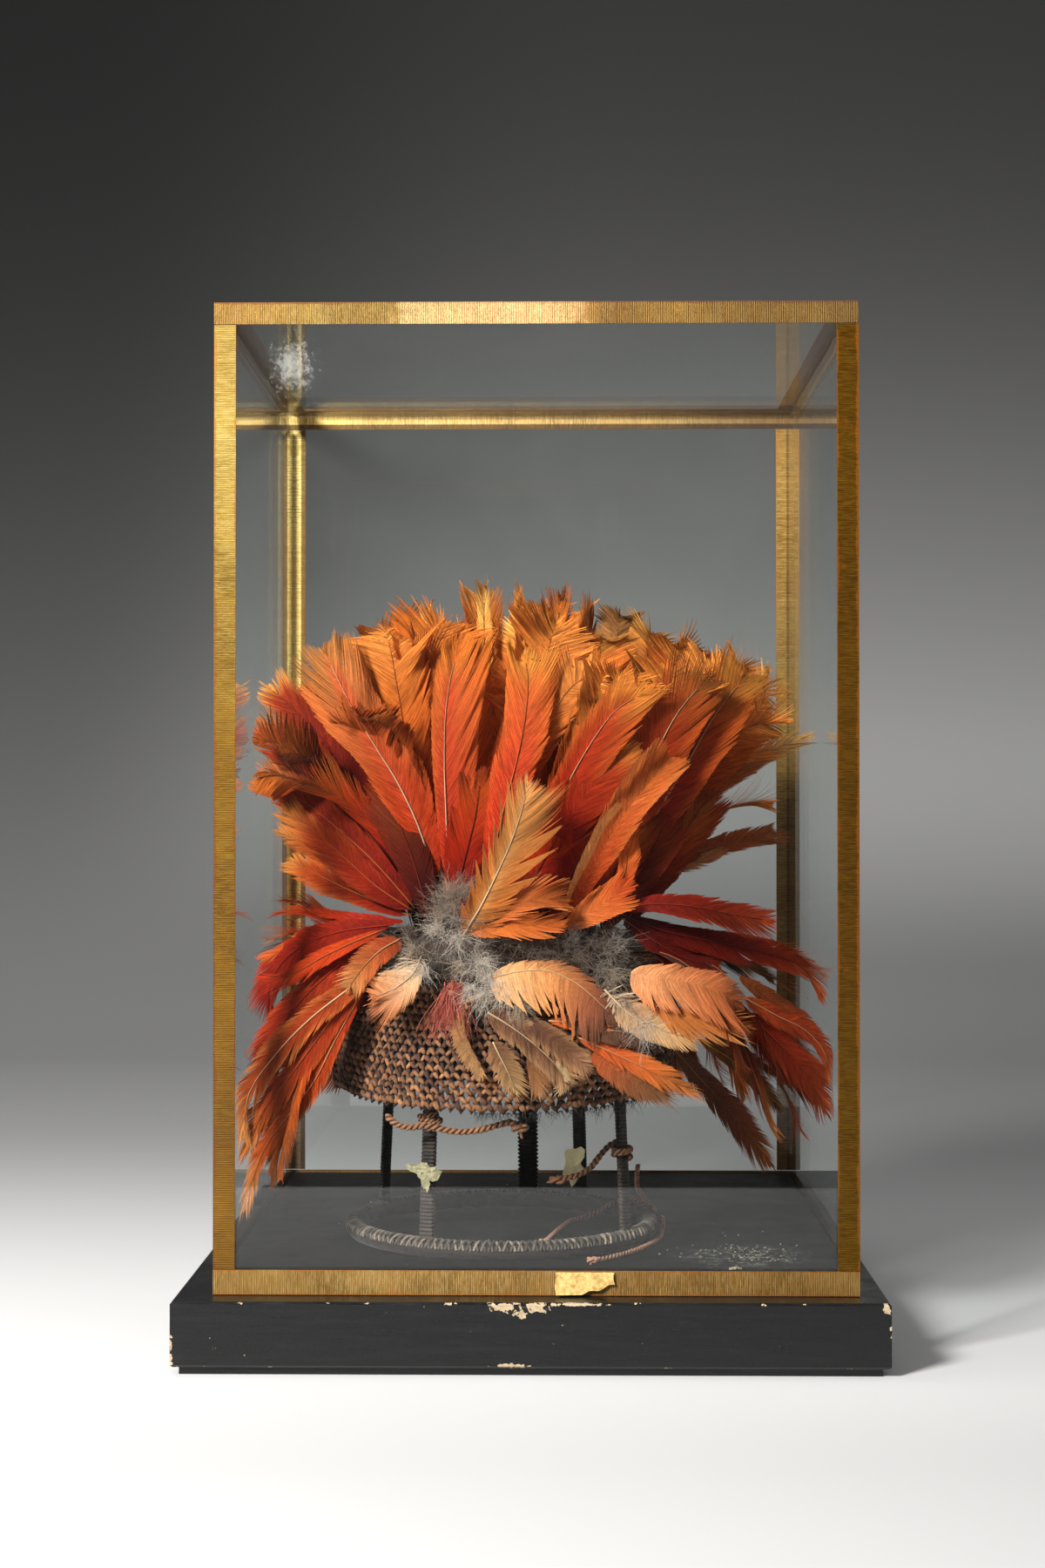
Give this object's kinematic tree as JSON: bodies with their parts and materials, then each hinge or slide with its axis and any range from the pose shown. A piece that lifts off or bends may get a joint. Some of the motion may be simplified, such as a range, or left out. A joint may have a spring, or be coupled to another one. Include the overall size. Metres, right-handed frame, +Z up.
{
  "type": "feathered headdress on a ring stand in a glazed display case",
  "caption": "Netted fibre cap with a tall fan and skirt of orange-red feathers on a wrapped ring stand, inside a square glass cover with gilt tape edges on a black plinth.",
  "frame": {"origin": "centre of the underside of the plinth", "axes": "+Z up, -Y towards the front pane, +X to the viewer's right"},
  "size_m": [0.359, 0.359, 0.5391],
  "materials": {
    "black_paint": "black gloss paint on wood, chipped",
    "floor_paint": "matt black painted panel, dusty",
    "pane_glass": "clear sheet glass, lightly smeared",
    "gilt_tape": "ribbed gilt tape, worn",
    "wrapped_cane": "dark cane wrapped with thread",
    "cap_fibre": "looped plant fibre net",
    "hair_and_down": "matted hair and down",
    "crown_feather": "feather",
    "skirt_feather": "feather",
    "tassel_fibre": "dyed fibre fringe",
    "twisted_cord": "two-ply twisted fibre cord"
  },
  "bodies": {
    "root": {"plinth_foot": "black_paint", "plinth_block": "black_paint", "floor_panel": "floor_paint", "pane_front": "pane_glass", "pane_back": "pane_glass", "pane_left": "pane_glass", "pane_right": "pane_glass", "pane_top": "pane_glass", "tape_top_front": "gilt_tape", "tape_top_back": "gilt_tape", "tape_top_left": "gilt_tape", "tape_top_right": "gilt_tape", "tape_front_left": "gilt_tape", "tape_front_right": "gilt_tape", "tape_back_left": "gilt_tape", "tape_back_right": "gilt_tape", "tape_foot_front": "gilt_tape", "tape_foot_back": "gilt_tape", "tape_foot_left": "gilt_tape", "tape_foot_right": "gilt_tape", "stand_ring": "wrapped_cane", "stand_hoop": "wrapped_cane", "leg_front_left": "wrapped_cane", "leg_front_right": "wrapped_cane", "leg_back_right": "wrapped_cane", "leg_back_middle": "wrapped_cane", "leg_back_left": "wrapped_cane", "netted_cap": "cap_fibre", "hair_band": "hair_and_down", "crown_plume_01": "crown_feather", "crown_plume_02": "crown_feather", "crown_plume_03": "crown_feather", "crown_plume_04": "crown_feather", "crown_plume_05": "crown_feather", "crown_plume_06": "crown_feather", "crown_plume_07": "crown_feather", "crown_plume_08": "crown_feather", "crown_plume_09": "crown_feather", "crown_plume_10": "crown_feather", "crown_plume_11": "crown_feather", "crown_plume_12": "crown_feather", "crown_plume_13": "crown_feather", "crown_plume_14": "crown_feather", "skirt_plume_01": "skirt_feather", "skirt_plume_02": "skirt_feather", "skirt_plume_03": "skirt_feather", "skirt_plume_04": "skirt_feather", "skirt_plume_05": "skirt_feather", "skirt_plume_06": "skirt_feather", "skirt_plume_07": "skirt_feather", "skirt_plume_08": "skirt_feather", "skirt_plume_09": "skirt_feather", "skirt_plume_10": "skirt_feather", "skirt_plume_11": "skirt_feather", "skirt_plume_12": "skirt_feather", "red_tassel": "tassel_fibre", "rim_cord": "twisted_cord", "leg_cord": "twisted_cord", "loose_cord": "twisted_cord", "tail_cord": "twisted_cord"}
  },
  "joints": []
}
